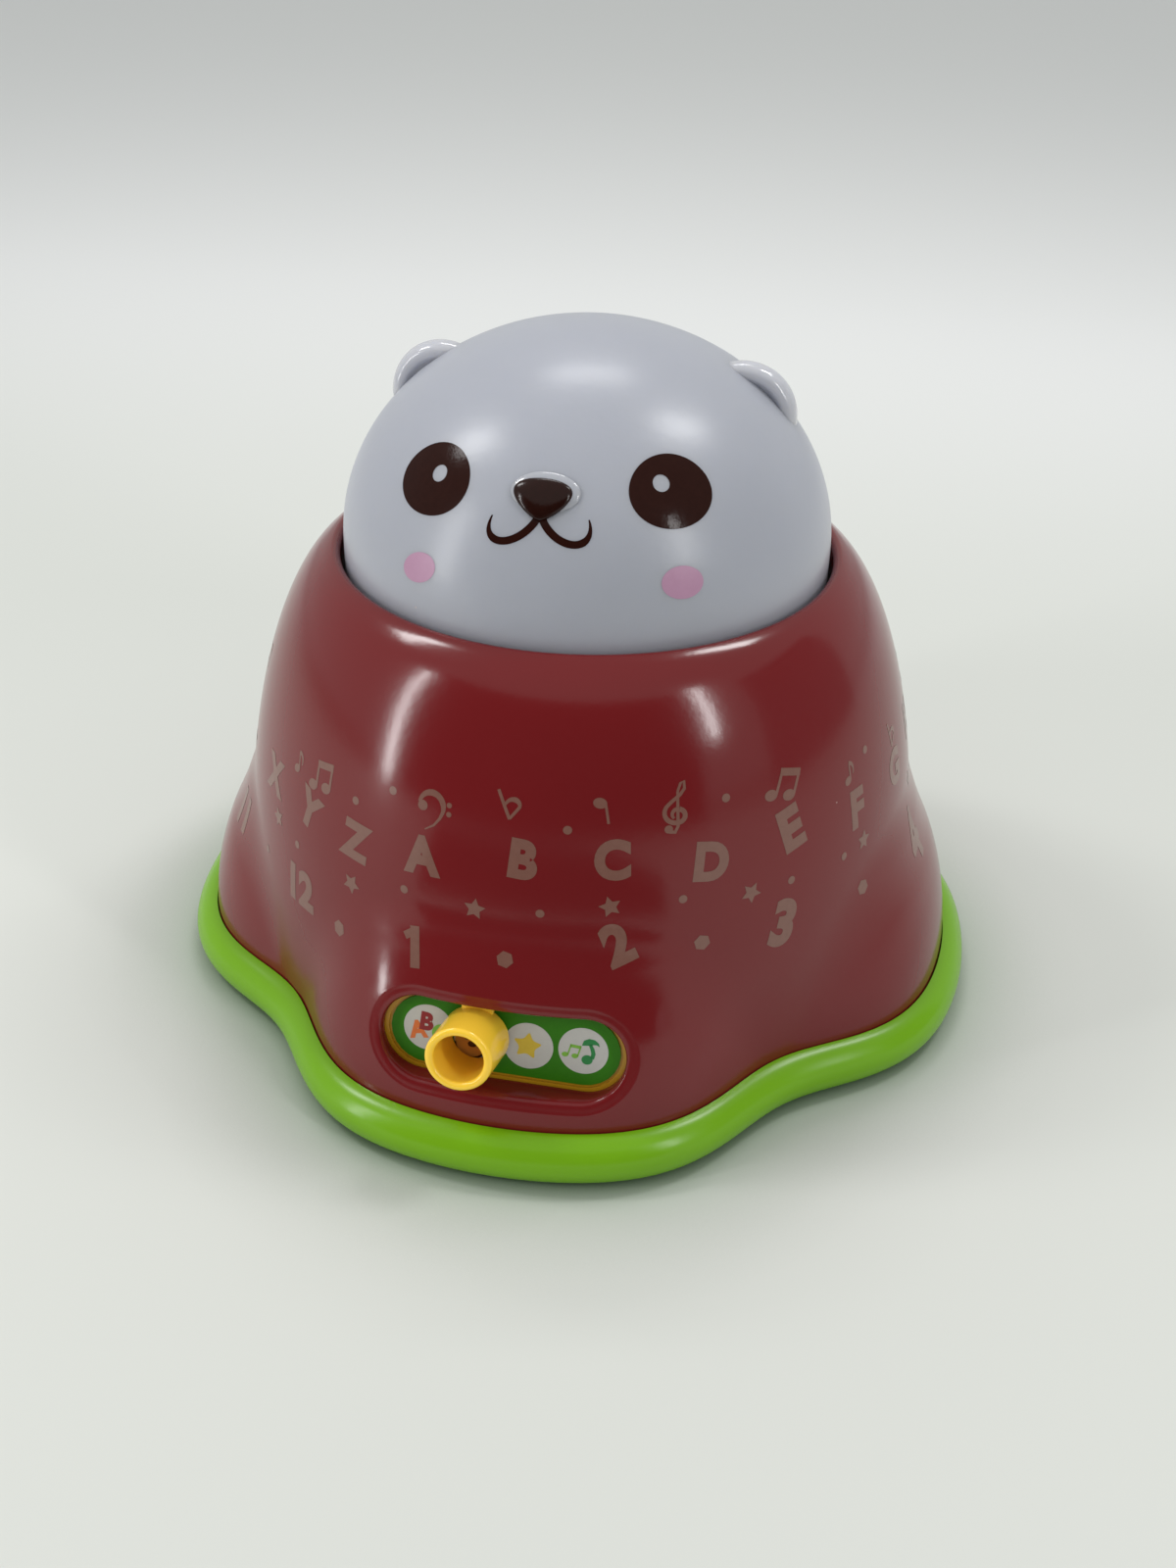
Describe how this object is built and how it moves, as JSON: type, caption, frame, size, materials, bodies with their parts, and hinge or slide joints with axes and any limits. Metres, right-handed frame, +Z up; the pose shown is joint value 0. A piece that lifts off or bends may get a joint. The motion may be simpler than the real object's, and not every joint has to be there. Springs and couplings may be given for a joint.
{
  "type": "whack_a_mole_toy",
  "caption": "Table-top toy with a lobed body, a sprung animal head that is struck from above, and a ring knob that slides along a slot to pick a game or music mode",
  "frame": {"origin": "On the table plane, under the middle of the head", "axes": "+Z up, -Y towards the face and the mode slot, +X to the viewer's right when facing the toy"},
  "size_m": [0.168, 0.168, 0.1352],
  "materials": {
    "lime_base": "gloss",
    "red_body": "gloss",
    "milk_head": "translucent gloss",
    "white_inner": "satin",
    "yellow_knob": "gloss",
    "label": "printed film",
    "steel": "plain",
    "circuit_board": "satin",
    "lamp": "clear",
    "black_parts": "matt",
    "orange_button": "satin",
    "gasket": "matt",
    "magnet": "matt",
    "cell": "gloss",
    "contact": "plain"
  },
  "bodies": {
    "base": {"base_tray": "lime_base", "body_shell": "red_body", "return_springs": "steel", "deck_plate": "white_inner", "base_screws": "steel", "main_board": "circuit_board", "board_parts": "black_parts", "board_screws": "steel", "hit_switch": "black_parts", "hit_button": "orange_button", "speaker_gasket": "gasket", "speaker_frame": "steel", "speaker_cone": "black_parts", "speaker_magnet": "magnet", "speaker_screws": "steel", "battery_front": "cell", "battery_middle": "cell", "battery_back": "cell", "battery_springs": "steel", "battery_plates": "steel", "mode_plate": "yellow_knob", "mode_label": "label", "plate_screws": "steel", "switch_board": "circuit_board", "switch_pads": "contact", "switch_screws": "steel"},
    "head": {"head_dome": "milk_head", "head_carrier": "black_parts", "head_screws": "steel", "light_board": "circuit_board", "light_bulbs": "lamp"},
    "knob": {"mode_knob": "yellow_knob", "knob_wiper": "contact"},
    "door": {"battery_door": "lime_base", "door_screw": "steel"}
  },
  "joints": [
    {"name": "head_press", "type": "slide", "parent": "base", "child": "head", "axis": [0, 0, -1], "range_m": [0, 0.006], "stiffness_N_per_m": 500, "springref_m": -0.004, "deforming": ["return_springs"]},
    {"name": "mode_slide", "type": "slide", "parent": "base", "child": "knob", "axis": [1, 0, 0], "range_m": [-0.01, 0.02]},
    {"name": "door_pull", "type": "slide", "parent": "base", "child": "door", "axis": [0, 0, -1], "range_m": [0, 0.03]}
  ]
}
